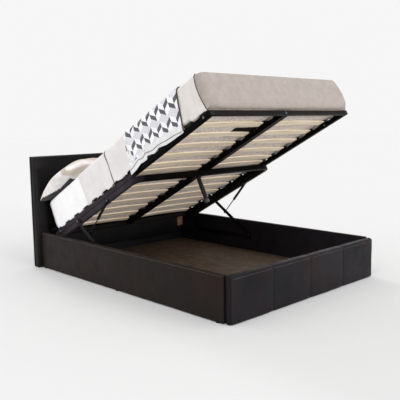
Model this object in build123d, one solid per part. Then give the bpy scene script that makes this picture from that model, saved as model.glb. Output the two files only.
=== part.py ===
from build123d import *
from math import atan2, cos, degrees, hypot, pi, radians, sin, sqrt
import os

# An upholstered ottoman bed, drawn with its sleeping platform lifted open.
# X runs across the bed, +Y towards the headboard, +Z up. The origin is on the floor at the
# middle of the bed's outline. Lengths are in millimetres and angles in degrees.

# General allowances
overrun = 10            # how far a cutting solid runs past what it cuts
seat_gap = 0.3          # between a soft piece and what it lies on
side_play = 0.5         # sideways play between links that pass each other
bore_play = 0.05        # radial play of a pin in its bore

# Frame of the sleeping platform, which the mattress and the base are sized around
frame_width = 1350
frame_length = 1875
frame_side_gap = 32         # to the lining of each rail
shut_head_gap = 30
shut_foot_gap = 17

# Bed base
glide_height = 4
headboard_overhang = 30     # past the rail on each side
headboard_height = 850
headboard_board_thickness = 25
headboard_pad_thickness = 47
headboard_edge_radius = 12
headboard_foot_radius = 5
rail_height = 278
rail_thickness = 25
rail_edge_radius = 8
foot_panel_inset = 15       # from the outside of each rail
foot_panel_height = 270
foot_panel_thickness = 50
foot_panel_edge_radius = 10
foot_panel_sections = 4
seam_width = 5
lining_thickness = 3
lining_drop = 6

# Inside of the base
batten_width = 22
batten_height = 20
floor_board_thickness = 4
floor_board_count = 3
floor_board_gap = 2
corner_block_width = 64
corner_block_depth = 26
corner_block_height = 81
corner_block_bottom = 150
corner_block_edge = 2
glide_diameter = 32         # across the corners of its octagon
glide_inset = 45
bolt_head_diameter = 14     # across the corners of its hexagon
bolt_head_height = 4

# Sleeping platform, in its own directions: u from its head end to its foot end, n up from
# the underside of its frame
frame_tube_width = 30
frame_end_width = 20        # of the head and foot tubes
frame_tube_height = 30
tube_wall = 1.5
tube_corner = 3
spine_width = 50
lift_rail_width = 30
lift_rail_height = 38
lift_rail_length = 1085
lift_rail_bend = 60
end_cap_depth = 12
end_cap_lip = 2

# Where the platform lies when shut, and how it moves as it opens
frame_drop = 46
lift_back = 102
lift_up = 21
open_tilt = 28

# Lift arms, rear links and their brackets
arm_pivot_u = 365
arm_pivot_n = -20
arm_length = 452
link_pivot_u = 75
link_pivot_n = -20
link_length = 161.2
bar_width = 26
bar_thickness = 5
bracket_thickness = 4
bracket_bar_height = 34
bracket_lug_radius = 19
bracket_end_margin = 22
bracket_bolt_count = 4
bracket_bolt_start = 25
bracket_bolt_end = 45
pin_diameter = 10
pin_head_diameter = 18
pin_head_height = 2.5
spacer_diameter = 20

# Gas struts
strut_top_u = 760
strut_top_n = -30
strut_foot_along_arm = 150
strut_diameter = 19
strut_wall = 1.5
strut_body_start = 14
strut_body_length = 172
strut_gland_length = 8
rod_diameter = 8
rod_overlap = 26
piston_length = 10
eye_diameter = 17
eye_width = 14
stud_diameter = 8
stud_head_diameter = 13
stud_head_height = 2
rod_end_length = 20
rod_end_diameter = 14

# Slats and their holders
slats_head_half = 8
slats_foot_half = 6
slat_width = 53
slat_thickness = 8
slat_bow = 8
slat_end_margin = 62
slat_mid_margin = 50
slat_end_inset = 22
slat_centre_gap = 14
holder_height = 17
holder_floor = 3
holder_wall = 3
holder_depth = 36
slat_headroom = 2
holder_corner = 4
slat_fit = 0.3

# Middle support leg
leg_u = 956
leg_diameter = 32
leg_wall = 1.5
leg_plate_size = 70
leg_plate_thickness = 4
leg_tip_height = 22
leg_tip_diameter = 38
leg_tip_sides = 12
leg_tip_bevel = 1.5
leg_floor_gap = 0.5

# Mattress and bedding
mattress_overhang = 25      # past the foot end of the frame
mattress_thickness = 205
mattress_bottom_n = 50
mattress_corner_radius = 55
mattress_edge_radius = 24
mattress_edge_steps = 2
cloth_gap = 2
sheet_thickness = 4
sheet_end_u = 528
sheet_hem_n = 36
cover_thickness = 9
cover_end_u = 1114
cover_hem_n = 34
throw_thickness = 6
throw_end_u = 1672
throw_hem_n = 34
throw_hem_dip = 9
throw_hem_waves = 5
pad_thickness = 1.2
pad_u = 1528
pad_x = -92
pad_width = 228
pad_length = 72
pad_strip_u = 1650
pad_strip_x = -130
pad_strip_width = 150
pad_strip_length = 18

# Pillows on the bed
pillow_width = 730
pillow_height = 496
pillow_thickness = 122
pillow_seam = 3
pillow_draw = 34
pillow_crown_share = 0.55
pillow_section_shares = (-1, -0.93, -0.72, -0.38, 0, 0.38, 0.72, 0.93, 1)
left_pillow_place = (-354, 265)
left_pillow_turns = (-10.5, -2.5, -2)
right_pillow_place = (396, 269)
right_pillow_turns = (-9.5, 2, 1.5)

# Sizes and places that follow
mattress_width = frame_width
mattress_length = frame_length + mattress_overhang
well_half_width = frame_width / 2 + frame_side_gap
rail_inner = well_half_width + lining_thickness
rail_outer = rail_inner + rail_thickness
headboard_width = 2 * (rail_outer + headboard_overhang)
foot_panel_width = 2 * (rail_outer - foot_panel_inset)
headboard_thickness = headboard_board_thickness + headboard_pad_thickness
rail_length = shut_head_gap + frame_length + shut_foot_gap
bed_length = headboard_thickness + rail_length + foot_panel_thickness
half_length = bed_length / 2
head_face = half_length - headboard_thickness
foot_face = -half_length + foot_panel_thickness
floor_top = glide_height + batten_height + floor_board_thickness
slat_bottom_n = frame_tube_height + holder_floor
frame_half = frame_width / 2
mattress_half = mattress_width / 2
mattress_top_n = mattress_bottom_n + mattress_thickness

shut_origin = (head_face - shut_head_gap, rail_height - frame_drop)
open_origin = (shut_origin[0] - lift_back, shut_origin[1] + lift_up)


def platform_point(u, n, origin, tilt):
    """A point of the platform as (y, z), for a place of its origin and a tilt."""
    c, s = cos(radians(tilt)), sin(radians(tilt))
    return origin[0] - u * c + n * s, origin[1] + u * s + n * c


def open_and_shut(u, n):
    return platform_point(u, n, open_origin, open_tilt), platform_point(u, n, shut_origin, 0)


def fixed_pivot(opened, shut, length):
    """The pivot on the base from which a link of this length reaches both points."""
    dy, dz = shut[0] - opened[0], shut[1] - opened[1]
    chord = hypot(dy, dz)
    reach = sqrt(length**2 - (chord / 2) ** 2)
    mid_y, mid_z = (opened[0] + shut[0]) / 2, (opened[1] + shut[1]) / 2
    return mid_y + reach * dz / chord, mid_z - reach * dy / chord


def angle_between(start, end):
    return degrees(atan2(end[1] - start[1], end[0] - start[0]))


def point_along(start, end, distance):
    share = distance / hypot(end[0] - start[0], end[1] - start[1])
    return start[0] + share * (end[0] - start[0]), start[1] + share * (end[1] - start[1])


arm_top, arm_top_shut = open_and_shut(arm_pivot_u, arm_pivot_n)
link_top, link_top_shut = open_and_shut(link_pivot_u, link_pivot_n)
arm_foot = fixed_pivot(arm_top, arm_top_shut, arm_length)
link_foot = fixed_pivot(link_top, link_top_shut, link_length)
strut_top, strut_top_shut = open_and_shut(strut_top_u, strut_top_n)
strut_foot = point_along(arm_top, arm_foot, strut_foot_along_arm)
strut_foot_shut = point_along(arm_top_shut, arm_foot, strut_foot_along_arm)
strut_length = hypot(strut_foot[0] - strut_top[0], strut_foot[1] - strut_top[1])
strut_length_shut = hypot(
    strut_foot_shut[0] - strut_top_shut[0], strut_foot_shut[1] - strut_top_shut[1]
)

# Layers of the lift mechanism, counted outwards from the side of the platform
bar_outer = well_half_width - bracket_thickness - side_play
bar_inner = bar_outer - bar_thickness
strut_x = (frame_half + bar_inner - stud_head_height - side_play) / 2


def save(name, *solids):
    """Writes the pieces of one sub-part as one file."""
    pieces = [s for shape in solids for s in shape.solids()]
    whole = pieces[0] if len(pieces) == 1 else Compound(children=pieces)
    export_step(whole, f"parts/{name}.step")


def block(x0, x1, y0, y1, z0, z1):
    """A box between two corners."""
    centre = ((x0 + x1) / 2, (y0 + y1) / 2, (z0 + z1) / 2)
    return Pos(*centre) * Box(abs(x1 - x0), abs(y1 - y0), abs(z1 - z0))


def on_platform(shape):
    """Carries a piece drawn lying flat at (x, -u, n) to the opened platform."""
    return Location((0, *open_origin), (-open_tilt, 0, 0)) * shape


def flat_block(x0, x1, u0, u1, n0, n1):
    return block(x0, x1, -u0, -u1, n0, n1)


def mirrored(shape):
    return mirror(shape, about=Plane.YZ)


def across(x0, x1, y, z, diameter):
    """A round bar along X from x0 to x1."""
    middle = (x0 + x1) / 2
    return Pos(middle, y, z) * Rot(0, 90, 0) * Cylinder(diameter / 2, abs(x1 - x0))


def hexagon(x0, x1, y, z, diameter):
    """A six-sided head along X from x0 to x1, measured across its corners."""
    return Pos(x0, y, z) * Rot(0, 90, 0) * extrude(RegularPolygon(diameter / 2, 6), x1 - x0)


def flat_bar(x0, x1, start, end, width):
    """A flat link with round ends, lying across X between two pivots given as (y, z)."""
    length = hypot(end[0] - start[0], end[1] - start[1])
    outline = SlotCenterToCenter(length, width)
    mid_y, mid_z = (start[0] + end[0]) / 2, (start[1] + end[1]) / 2
    place = Pos(x0, mid_y, mid_z) * Rot(angle_between(start, end), 0, 0) * Plane.YZ.location
    return place * extrude(outline, x1 - x0)


# Upholstered panels
def headboard():
    width, bottom = headboard_width, glide_height
    back = half_length - headboard_board_thickness
    board = block(-width / 2, width / 2, back, half_length, bottom, headboard_height)
    board = fillet(board.edges().filter_by(Axis.Z).group_by(Axis.Y)[-1], headboard_foot_radius)
    pad = block(-width / 2, width / 2, head_face, back, bottom, headboard_height)
    sides = pad.edges().filter_by(Axis.Z)
    tops = pad.faces().sort_by(Axis.Z)[-1].edges().filter_by(Axis.X)
    pad = fillet(sides + tops, headboard_edge_radius)
    save("headboard_board", board)
    save("headboard_pad", pad)


def side_rail():
    rail = block(rail_inner, rail_outer, foot_face, head_face, glide_height, rail_height)
    top = rail.faces().sort_by(Axis.Z)[-1].edges().filter_by(Axis.Y)
    bottom = rail.faces().sort_by(Axis.Z)[0].edges().filter_by(Axis.Y).sort_by(Axis.X)[-1]
    return fillet(top + [bottom], rail_edge_radius)


def foot_panel():
    half = foot_panel_width / 2
    panel = block(-half, half, -half_length, foot_face, glide_height, foot_panel_height)
    front = panel.faces().sort_by(Axis.Y)[0].edges()
    top_back = panel.faces().sort_by(Axis.Z)[-1].edges().sort_by(Axis.Y)[-1]
    panel = fillet(front + [top_back], foot_panel_edge_radius)
    section = foot_panel_width / foot_panel_sections
    for i in range(1, foot_panel_sections):
        x = -half + i * section
        length = foot_panel_height * 2 + overrun
        panel -= Pos(x, -half_length, 0) * Rot(0, 0, 45) * Box(seam_width, seam_width, length)
    return panel


def linings():
    """Thin black boards on the inside of the base."""
    low, high = floor_top, rail_height - lining_drop
    foot_high = foot_panel_height - lining_drop
    half = well_half_width
    side = block(half, rail_inner, foot_face, head_face, low, high)
    head = block(-half, half, head_face - lining_thickness, head_face, low, high)
    foot = block(-half, half, foot_face, foot_face + lining_thickness, low, foot_high)
    save("side_lining_right", side)
    save("side_lining_left", mirrored(side))
    save("head_lining", head)
    save("foot_lining", foot)


def floor_of_base():
    """Battens screwed inside the base and the boards that lie on them."""
    low, high = glide_height, glide_height + batten_height
    side = block(rail_inner - batten_width, rail_inner, foot_face, head_face, low, high)
    middle = block(-batten_width / 2, batten_width / 2, foot_face, head_face, low, high)
    save("side_batten_right", side)
    save("side_batten_left", mirrored(side))
    save("centre_batten", middle)
    room = rail_length - (floor_board_count - 1) * floor_board_gap
    each = room / floor_board_count
    for i in range(floor_board_count):
        start = foot_face + i * (each + floor_board_gap)
        board = block(-rail_inner, rail_inner, start, start + each, high, floor_top)
        save(f"floor_board_{i + 1}", board)


def corner_blocks():
    """Wooden blocks that the panels are screwed to at the four inside corners."""
    inner = well_half_width - corner_block_width
    bottom, top = corner_block_bottom, corner_block_bottom + corner_block_height
    head = head_face - lining_thickness
    foot = foot_face + lining_thickness
    blocks = []
    for y0, y1 in ((head - corner_block_depth, head), (foot, foot + corner_block_depth)):
        one = block(inner, well_half_width, y0, y1, bottom, top)
        one = chamfer(one.edges().filter_by(Axis.Z), corner_block_edge)
        blocks += [one, mirrored(one)]
    return blocks


def glides():
    x = rail_outer - rail_thickness / 2
    ys = (foot_face + glide_inset, 0, head_face - glide_inset)
    places = [(side * x, y) for side in (-1, 1) for y in ys]
    back = half_length - headboard_board_thickness
    foot_y = -half_length + foot_panel_thickness / 2
    places += [(side * (headboard_width / 2 - glide_inset), back) for side in (-1, 1)]
    places += [(side * (foot_panel_width / 2 - glide_inset), foot_y) for side in (-1, 1)]
    octagon = RegularPolygon(glide_diameter / 2, 8)
    return [Pos(px, py, 0) * extrude(octagon, glide_height) for px, py in places]


# Lift mechanism
def lift_bracket():
    """The long plate on the side rail that carries the lower pivots of arm and link."""
    bar_z = (arm_foot[1] + link_foot[1]) / 2
    inner, outer = well_half_width - bracket_thickness, well_half_width
    start, end = arm_foot[0] - bracket_end_margin, link_foot[0] + bracket_end_margin
    low, high = bar_z - bracket_bar_height / 2, bar_z + bracket_bar_height / 2
    plate = block(inner, outer, start, end, low, high)
    for y, z in (arm_foot, link_foot):
        lug = across(inner, outer, y, z, bracket_lug_radius * 2)
        web_low, web_high = min(z, low), max(z, high)
        near, far = y - bracket_lug_radius, y + bracket_lug_radius
        plate += lug + block(inner, outer, near, far, web_low, web_high)
    for y, z in (arm_foot, link_foot):
        plate -= across(inner - overrun, outer + overrun, y, z, pin_diameter + 2 * bore_play)
    return plate


def bracket_bolts():
    """Bolt heads along the plate."""
    bar_z = (arm_foot[1] + link_foot[1]) / 2
    start, end = arm_foot[0] + bracket_bolt_start, link_foot[0] - bracket_bolt_end
    inner = well_half_width - bracket_thickness
    bolts = []
    for i in range(bracket_bolt_count):
        y = start + (end - start) * i / (bracket_bolt_count - 1)
        head = hexagon(inner - bolt_head_height, inner, y, bar_z, bolt_head_diameter)
        bolts += [head, mirrored(head)]
    return bolts


def base_pins():
    """Rivets in the rail brackets on which the arms and rear links turn."""
    rivets = []
    head_outer = bar_inner - side_play / 2
    head_inner = head_outer - pin_head_height
    for y, z in (arm_foot, link_foot):
        shank = across(head_inner, well_half_width, y, z, pin_diameter)
        rivet = shank + across(head_inner, head_outer, y, z, pin_head_diameter)
        rivets += [rivet, mirrored(rivet)]
    return rivets


def lift_arm():
    arm = flat_bar(bar_inner, bar_outer, arm_foot, arm_top, bar_width)
    for y, z in (arm_foot, arm_top):
        arm -= across(bar_inner - overrun, bar_outer + overrun, y, z, pin_diameter + 2 * bore_play)
    return arm


def arm_stud():
    """Half of the lower strut joint: the stud head riveted to the arm."""
    y, z = strut_foot
    return across(bar_inner - stud_head_height, bar_inner, y, z, stud_head_diameter)


def rear_link():
    link = flat_bar(bar_inner, bar_outer, link_foot, link_top, bar_width)
    y, z = link_foot
    link -= across(bar_inner - overrun, bar_outer + overrun, y, z, pin_diameter + 2 * bore_play)
    rivet = across(bar_outer, bar_outer + pin_head_height, *link_top, pin_head_diameter)
    return link + rivet


def platform_pins():
    """Bolts through the lift rails: the arm turns on the first, the link on the second."""
    pins = []
    y, z = arm_top
    spacer = across(frame_half, bar_inner - side_play / 2, y, z, spacer_diameter)
    shank = across(frame_half, bar_outer + side_play / 2, y, z, pin_diameter)
    head = hexagon(bar_outer + side_play / 2, bar_outer + pin_head_height, y, z, pin_head_diameter)
    pins.append(spacer + shank + head)
    y, z = link_top
    pins.append(across(frame_half, bar_inner - side_play / 2, y, z, spacer_diameter))
    return pins + [mirrored(p) for p in pins]


def strut_frame(side):
    """Puts a shape drawn down the Z axis from the strut's top onto one open strut."""
    angle = angle_between(strut_top, strut_foot)
    return Pos(side * strut_x, *strut_top) * Rot(angle + 90, 0, 0)


def down(start, length, diameter):
    """A round bar down the Z axis, from a distance below the strut's top pivot."""
    return Pos(0, 0, -start - length / 2) * Cylinder(diameter / 2, length)


def strut_stud():
    """The stud on the lift rail that holds the strut's upper eye."""
    y, z = strut_top
    outer = strut_x + eye_width / 2 + side_play
    shank = across(frame_half, outer, y, z, stud_diameter)
    return shank + across(outer, outer + side_play * 2, y, z, stud_head_diameter)


def strut_cylinder(side):
    bore = strut_diameter - 2 * strut_wall
    body = down(strut_body_start, strut_body_length, strut_diameter)
    chamber_start = strut_body_start + strut_wall * 2
    chamber = strut_body_length - strut_wall * 2 - strut_gland_length
    body -= down(chamber_start, chamber, bore)
    gland_start = chamber_start + chamber
    body -= down(gland_start - strut_wall, strut_gland_length * 2, rod_diameter + 2 * bore_play)
    eye = Rot(0, 90, 0) * Cylinder(eye_diameter / 2, eye_width)
    neck = down(0, strut_body_start, rod_end_diameter)
    body = body + eye + neck
    hole = Rot(0, 90, 0) * Cylinder(stud_diameter / 2 + bore_play, eye_width + overrun)
    return strut_frame(side) * (body - hole)


def strut_rod(side):
    rod_top = strut_body_start + strut_body_length - strut_gland_length - rod_overlap
    rod = down(rod_top, strut_length - rod_end_length - rod_top, rod_diameter)
    piston = down(rod_top, piston_length, strut_diameter - 2 * strut_wall - 2 * bore_play)
    socket = down(strut_length - rod_end_length, rod_end_length, rod_end_diameter)
    stud_side = bar_inner - stud_head_height - seat_gap - strut_x
    eye = across(-side * eye_width / 2, side * stud_side, 0, -strut_length, eye_diameter)
    return strut_frame(side) * (rod + piston + socket + eye)


# Frame of the platform
def tube_section(width, height):
    """A rectangle with its corners taken off."""
    section = Rectangle(width, height)
    return chamfer(section.vertices(), tube_corner / 2)


def straight_tube(length, width, height):
    """A hollow tube along Y, open at both ends, centred on its axis."""
    outer = tube_section(width, height)
    inner = tube_section(width - 2 * tube_wall, height - 2 * tube_wall)
    return Rot(90, 0, 0) * Pos(0, 0, -length / 2) * extrude(outer - inner, length)


def tube_along_u(x, u0, u1, n0, width, height):
    tube = straight_tube(u1 - u0, width, height)
    return Pos(x, -(u0 + u1) / 2, n0 + height / 2) * tube


def tube_along_x(x0, x1, u, n0, width, height):
    tube = straight_tube(x1 - x0, width, height)
    return Pos((x0 + x1) / 2, -u, n0 + height / 2) * Rot(0, 0, 90) * tube


def platform_frame():
    width, height = frame_tube_width, frame_tube_height
    x = frame_half - width / 2
    side = tube_along_u(x, 0, frame_length, 0, width, height)
    save("frame_side_right", on_platform(side))
    save("frame_side_left", on_platform(mirrored(side)))
    inner = frame_half - width
    deep = frame_end_width
    for name, u in (("frame_head_tube", deep / 2), ("frame_foot_tube", frame_length - deep / 2)):
        save(name, on_platform(tube_along_x(-inner, inner, u, 0, deep, height)))
    spine = tube_along_u(0, deep, frame_length - deep, 0, spine_width, height)
    save("spine_tube", on_platform(spine))


def end_caps():
    """Plastic plugs in the open ends of the side tubes."""
    caps = []
    x0, x1, high = frame_half - frame_tube_width, frame_half, frame_tube_height
    room = tube_wall + bore_play
    for u, way in ((0, 1), (frame_length, -1)):
        lip = flat_block(x0, x1, u - way * end_cap_lip, u, 0, high)
        plug = flat_block(x0 + room, x1 - room, u, u + way * end_cap_depth, room, high - room)
        cap = lip + chamfer(plug.edges().filter_by(Axis.Y), tube_corner / 2)
        caps += [on_platform(cap), on_platform(mirrored(cap))]
    return caps


def lift_rail():
    """A tube under the side of the head half, bent inwards at its foot end."""
    bend = lift_rail_bend
    x = frame_half - lift_rail_width / 2
    straight_end = -(lift_rail_length - bend - lift_rail_width / 2)
    path = Line((x, 0, 0), (x, straight_end, 0)) + RadiusArc(
        (x, straight_end, 0), (x - bend, straight_end - bend, 0), bend
    )
    section = Plane(origin=(x, 0, 0), x_dir=(1, 0, 0), z_dir=(0, -1, 0))
    wall = tube_wall
    outer = section * tube_section(lift_rail_width, lift_rail_height)
    inner = section * tube_section(lift_rail_width - 2 * wall, lift_rail_height - 2 * wall)
    rail = sweep(outer, path=path) - sweep(inner, path=path)
    return Pos(0, 0, -lift_rail_height / 2) * rail


def cross_tube():
    end = frame_half - lift_rail_width / 2 - lift_rail_bend
    u = lift_rail_length - lift_rail_width / 2
    return tube_along_x(-end, end, u, -lift_rail_height, lift_rail_width, lift_rail_height)


def support_leg():
    """The leg that hangs from the spine and stands on the floor boards when shut."""
    shut_floor_n = floor_top - shut_origin[1] + leg_floor_gap
    plate = flat_block(
        -leg_plate_size / 2, leg_plate_size / 2, leg_u - leg_plate_size / 2,
        leg_u + leg_plate_size / 2, -leg_plate_thickness, 0
    )
    length = -leg_plate_thickness - shut_floor_n - leg_tip_height / 2
    tube = Cylinder(leg_diameter / 2, length) - Cylinder(leg_diameter / 2 - leg_wall, length)
    tube = Pos(0, -leg_u, -leg_plate_thickness - length / 2) * tube
    tip = extrude(RegularPolygon(leg_tip_diameter / 2, leg_tip_sides), leg_tip_height)
    tip = chamfer(tip.faces().sort_by(Axis.Z)[0].edges(), leg_tip_bevel)
    tip -= Pos(0, 0, leg_tip_height) * Cylinder(leg_diameter / 2, leg_tip_height)
    tip = Pos(0, -leg_u, shut_floor_n) * tip
    save("support_leg", on_platform(plate + tube))
    save("support_leg_tip", on_platform(tip))


# Slats
def slat_places():
    """The slats' middles along u, head half and foot half."""
    split = lift_rail_length
    head_start, head_end = slat_end_margin, split - slat_mid_margin
    foot_start, foot_end = split + slat_mid_margin, frame_length - slat_end_margin
    head = [
        head_start + (head_end - head_start) * i / (slats_head_half - 1)
        for i in range(slats_head_half)
    ]
    foot = [
        foot_start + (foot_end - foot_start) * i / (slats_foot_half - 1)
        for i in range(slats_foot_half)
    ]
    return head, foot


slat_inner_x = slat_centre_gap / 2
slat_outer_x = frame_half - slat_end_inset


def slat(u):
    """One sprung slat of the right column, bowed upwards between its holders."""
    x0, x1, low = slat_inner_x, slat_outer_x, slat_bottom_n
    middle = (x0 + x1) / 2
    with BuildSketch(Plane.XZ.offset(u - slat_width / 2)) as outline:
        with BuildLine():
            ThreePointArc((x0, low), (middle, low + slat_bow), (x1, low))
            Line((x1, low), (x1, low + slat_thickness))
            ThreePointArc(
                (x1, low + slat_thickness),
                (middle, low + slat_thickness + slat_bow),
                (x0, low + slat_thickness),
            )
            Line((x0, low + slat_thickness), (x0, low))
        make_face()
    return extrude(outline.sketch, slat_width)


def holder_block(x0, x1, u):
    low = frame_tube_height
    half = slat_width / 2 + slat_fit + holder_wall
    return flat_block(x0, x1, u - half, u + half, low, low + holder_height)


def slat_pocket(x0, x1, u):
    """Room for a slat's end, following its slope loosely."""
    half = slat_width / 2 + slat_fit
    low = slat_bottom_n - slat_fit
    high = slat_bottom_n + slat_thickness + slat_fit + slat_headroom
    return flat_block(x0, x1, u - half, u + half, low, high)


def side_holder(u):
    outer = frame_half - holder_wall
    shell = holder_block(outer - holder_depth, outer, u)
    shell = chamfer(shell.edges().filter_by(Axis.Z).group_by(Axis.X)[-1], holder_corner)
    return shell - slat_pocket(outer - holder_depth - overrun, slat_outer_x + slat_fit, u)


def centre_holder(u):
    shell = holder_block(-holder_depth, holder_depth, u)
    pocket = slat_pocket(slat_inner_x - slat_fit, holder_depth + overrun, u)
    return shell - pocket - mirrored(pocket)


def slats_and_holders():
    head, foot = slat_places()
    for part, places in (("head", head), ("foot", foot)):
        right = [slat(u) for u in places]
        save(f"slats_right_{part}", *[on_platform(s) for s in right])
        save(f"slats_left_{part}", *[on_platform(mirrored(s)) for s in right])
    sides = [side_holder(u) for u in head + foot]
    save("slat_holders_right", *[on_platform(s) for s in sides])
    save("slat_holders_left", *[on_platform(mirrored(s)) for s in sides])
    save("slat_holders_centre", *[on_platform(centre_holder(u)) for u in head + foot])


# Mattress and bedding
def mattress():
    """A block with round corners, its rims eased in a few steps."""
    rim = []
    for step in range(mattress_edge_steps + 1):
        angle = pi / 2 * step / mattress_edge_steps
        rim.append((mattress_edge_radius * (1 - sin(angle)), mattress_edge_radius * (1 - cos(angle))))
    places = [(inset, mattress_bottom_n + rise) for inset, rise in rim]
    places += [(inset, mattress_top_n - rise) for inset, rise in reversed(rim)]
    sections = []
    for inset, n in places:
        width, length = mattress_width - 2 * inset, mattress_length - 2 * inset
        outline = RectangleRounded(width, length, mattress_corner_radius - inset)
        sections.append(Pos(0, -mattress_length / 2, n) * outline)
    return loft(sections, ruled=True)


def draped(u0, u1, hem_n, thickness):
    """A cloth laid over the mattress from side to side."""
    layers = []
    for gap, past in ((seat_gap + thickness, 0), (seat_gap, overrun)):
        half, top = mattress_half + gap, mattress_top_n + gap
        layer = flat_block(-half, half, u0 - past, u1 + past, hem_n - past, top)
        rims = layer.faces().sort_by(Axis.Z)[-1].edges().filter_by(Axis.Y)
        layers.append(fillet(rims, mattress_edge_radius + gap))
    return layers[0] - layers[1]


def bed_throw():
    throw_start_u = cover_end_u + cloth_gap
    cloth = draped(throw_start_u, throw_end_u, throw_hem_n - throw_hem_dip, throw_thickness)
    steps = 2 * throw_hem_waves
    start, length = throw_start_u - overrun, throw_end_u - throw_start_u + 2 * overrun
    hem = []
    for i in range(steps + 1):
        share = i / steps
        dip = throw_hem_dip * (1 - share) if i % 2 else 0
        hem.append((-start - share * length, throw_hem_n - dip))
    low = throw_hem_n - throw_hem_dip - overrun
    with BuildSketch(Plane.YZ) as below:
        with BuildLine():
            Spline(*hem)
            Polyline(hem[-1], (hem[-1][0], low), (hem[0][0], low), hem[0])
        make_face()
    reach = mattress_width
    return cloth - Pos(-reach, 0, 0) * extrude(below.sketch, 2 * reach)


def pillow():
    """A crowned pillow lying flat: lens sections along X, its sides drawn in."""
    sections = []
    for share in pillow_section_shares:
        inward = 1 - share**2
        depth = pillow_height - pillow_draw * inward * (1 + 2 * share**2)
        rise = (pillow_seam + (pillow_thickness - pillow_seam) * sqrt(inward) ** pillow_crown_share) / 2
        with BuildSketch(Plane.YZ.offset(share * pillow_width / 2)) as lens:
            with BuildLine():
                ThreePointArc((-depth / 2, 0), (0, rise), (depth / 2, 0))
                ThreePointArc((depth / 2, 0), (0, -rise), (-depth / 2, 0))
            make_face()
        sections.append(lens.sketch)
    return loft(sections, ruled=True)


def pillows():
    """Two pillows resting on the sheet at the head of the mattress."""
    sheet_top = mattress_top_n + seat_gap + sheet_thickness
    for name, place, turns in (
        ("left", left_pillow_place, left_pillow_turns),
        ("right", right_pillow_place, right_pillow_turns),
    ):
        pitch, roll, yaw = turns
        turned = Rot(pitch, 0, 0) * Rot(0, roll, 0) * Rot(0, 0, yaw) * pillow()
        rise = sheet_top + seat_gap - turned.bounding_box().min.Z
        save(f"pillow_{name}", on_platform(Pos(place[0], -place[1], rise) * turned))


def bedding():
    save("mattress", on_platform(mattress()))
    sheet = draped(mattress_corner_radius, sheet_end_u, sheet_hem_n, sheet_thickness)
    save("sheet", on_platform(sheet))
    cover = draped(sheet_end_u + cloth_gap, cover_end_u, cover_hem_n, cover_thickness)
    save("cover", on_platform(cover))
    save("throw", on_platform(bed_throw()))
    high = mattress_bottom_n - seat_gap
    low = high - pad_thickness
    pad = flat_block(
        pad_x - pad_width / 2, pad_x + pad_width / 2, pad_u - pad_length / 2,
        pad_u + pad_length / 2, low, high
    )
    strip = flat_block(
        pad_strip_x - pad_strip_width / 2, pad_strip_x + pad_strip_width / 2,
        pad_strip_u - pad_strip_length / 2, pad_strip_u + pad_strip_length / 2, low, high
    )
    save("mattress_grip_pads", on_platform(pad), on_platform(strip))


def main():
    os.makedirs("parts", exist_ok=True)
    headboard()
    rail = side_rail()
    save("side_rail_right", rail)
    save("side_rail_left", mirrored(rail))
    save("foot_panel", foot_panel())
    linings()
    floor_of_base()
    save("corner_blocks", *corner_blocks())
    save("glides", *glides())
    bracket = lift_bracket()
    save("lift_bracket_right", bracket)
    save("lift_bracket_left", mirrored(bracket))
    save("bracket_bolts", *bracket_bolts())
    save("bracket_rivets", *base_pins())
    arm, link = lift_arm(), rear_link()
    save("lift_arm_right", arm)
    save("lift_arm_left", mirrored(arm))
    save("strut_arm_studs", arm_stud(), mirrored(arm_stud()))
    save("rear_link_right", link)
    save("rear_link_left", mirrored(link))
    save("platform_pins", *platform_pins())
    stud = strut_stud()
    save("strut_rail_studs", stud, mirrored(stud))
    for name, side in (("right", 1), ("left", -1)):
        save(f"strut_cylinder_{name}", strut_cylinder(side))
        save(f"strut_rod_{name}", strut_rod(side))
    platform_frame()
    save("tube_end_caps", *end_caps())
    rail_tube = lift_rail()
    save("lift_rail_right", on_platform(rail_tube))
    save("lift_rail_left", on_platform(mirrored(rail_tube)))
    save("lift_cross_tube", on_platform(cross_tube()))
    support_leg()
    slats_and_holders()
    bedding()
    pillows()
    report_motion()


def report_motion():
    """Prints the pivots and how far each joint turns or slides from open to shut."""
    arm_turn = angle_between(arm_foot, arm_top_shut) - angle_between(arm_foot, arm_top)
    link_turn = angle_between(link_foot, link_top_shut) - angle_between(link_foot, link_top)
    strut_open = angle_between(strut_top, strut_foot) + open_tilt
    strut_shut = angle_between(strut_top_shut, strut_foot_shut)
    print("arm foot", arm_foot, "turn", arm_turn)
    print("arm top", arm_top, "platform turn on the arm", open_tilt - arm_turn)
    print("link foot", link_foot, "turn", link_turn)
    print("strut top", strut_top, "turn on the platform", strut_shut - strut_open)
    print("strut length open and shut", strut_length, strut_length_shut)
    print("link top", link_top, "strut foot", strut_foot)


main()
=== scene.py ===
import itertools
from math import cos, pi, radians, sin

import bmesh
import bpy
import numpy as np
from mathutils import Matrix, Vector


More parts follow.
